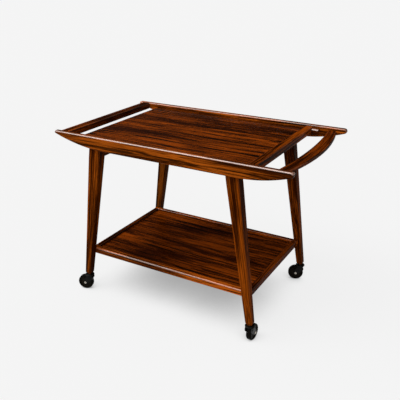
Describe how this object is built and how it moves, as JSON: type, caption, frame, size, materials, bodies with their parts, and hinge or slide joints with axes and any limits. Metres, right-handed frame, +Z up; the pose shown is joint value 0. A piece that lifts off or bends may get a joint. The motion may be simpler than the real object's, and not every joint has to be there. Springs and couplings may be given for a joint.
{
  "type": "bar cart",
  "caption": "Wooden bar cart: tray with swept side rails, a straight lifting bar and a bowed push handle, on splayed tapering legs with a recessed lower shelf and swivel casters.",
  "frame": {"origin": "on the floor, under the middle of the side rails", "axes": "+X along the tray towards the bowed push handle, +Y across it towards the rear rail, +Z up"},
  "size_m": [0.869, 0.522, 0.618],
  "materials": {
    "rosewood": "gloss varnish",
    "dowel_wood": "bare",
    "black_rubber": "satin",
    "black_plastic": "semi-gloss",
    "black_steel": "semi-gloss",
    "steel": "zinc plated"
  },
  "bodies": {
    "frame": {"front_rail": "rosewood", "rear_rail": "rosewood", "tray_panel": "rosewood", "tray_cross_bar": "rosewood", "tray_corner_blocks": "rosewood", "lift_handle": "rosewood", "push_handle": "rosewood", "left_apron": "rosewood", "right_apron": "rosewood", "front_left_leg": "rosewood", "front_right_leg": "rosewood", "rear_left_leg": "rosewood", "rear_right_leg": "rosewood", "shelf_panel": "rosewood", "shelf_front_lip": "rosewood", "shelf_rear_lip": "rosewood", "shelf_left_lip": "rosewood", "shelf_right_lip": "rosewood", "rail_dowels": "dowel_wood", "shelf_dowels": "dowel_wood", "front_left_caster_socket": "steel", "front_right_caster_socket": "steel", "rear_left_caster_socket": "steel", "rear_right_caster_socket": "steel"},
    "front_left_fork": {"front_left_caster_fork": "black_steel", "front_left_caster_stem": "steel", "front_left_caster_axle": "steel"},
    "front_left_wheel": {"front_left_caster_hub": "black_plastic", "front_left_caster_tyre": "black_rubber"},
    "front_right_fork": {"front_right_caster_fork": "black_steel", "front_right_caster_stem": "steel", "front_right_caster_axle": "steel"},
    "front_right_wheel": {"front_right_caster_hub": "black_plastic", "front_right_caster_tyre": "black_rubber"},
    "rear_left_fork": {"rear_left_caster_fork": "black_steel", "rear_left_caster_stem": "steel", "rear_left_caster_axle": "steel"},
    "rear_left_wheel": {"rear_left_caster_hub": "black_plastic", "rear_left_caster_tyre": "black_rubber"},
    "rear_right_fork": {"rear_right_caster_fork": "black_steel", "rear_right_caster_stem": "steel", "rear_right_caster_axle": "steel"},
    "rear_right_wheel": {"rear_right_caster_hub": "black_plastic", "rear_right_caster_tyre": "black_rubber"}
  },
  "joints": [
    {"name": "front_left_swivel", "type": "hinge", "parent": "frame", "child": "front_left_fork", "pos_m": [-0.356, -0.23075, 0.065], "axis": [0, 0, 1], "continuous": true},
    {"name": "front_left_roll", "type": "hinge", "parent": "front_left_fork", "child": "front_left_wheel", "pos_m": [-0.37104, -0.23622, 0.0285], "axis": [0.342, -0.9397, 0], "continuous": true},
    {"name": "front_right_swivel", "type": "hinge", "parent": "frame", "child": "front_right_fork", "pos_m": [0.311, -0.23075, 0.065], "axis": [0, 0, 1], "continuous": true},
    {"name": "front_right_roll", "type": "hinge", "parent": "front_right_fork", "child": "front_right_wheel", "pos_m": [0.31212, -0.21479, 0.0285], "axis": [-0.9976, 0.0698, 0], "continuous": true},
    {"name": "rear_left_swivel", "type": "hinge", "parent": "frame", "child": "rear_left_fork", "pos_m": [-0.356, 0.23075, 0.065], "axis": [0, 0, 1], "continuous": true},
    {"name": "rear_left_roll", "type": "hinge", "parent": "rear_left_fork", "child": "rear_left_wheel", "pos_m": [-0.35712, 0.21479, 0.0285], "axis": [0.9976, -0.0698, 0], "continuous": true},
    {"name": "rear_right_swivel", "type": "hinge", "parent": "frame", "child": "rear_right_fork", "pos_m": [0.311, 0.23075, 0.065], "axis": [0, 0, 1], "continuous": true},
    {"name": "rear_right_roll", "type": "hinge", "parent": "rear_right_fork", "child": "rear_right_wheel", "pos_m": [0.29617, 0.22476, 0.0285], "axis": [0.3746, -0.9272, 0], "continuous": true}
  ]
}
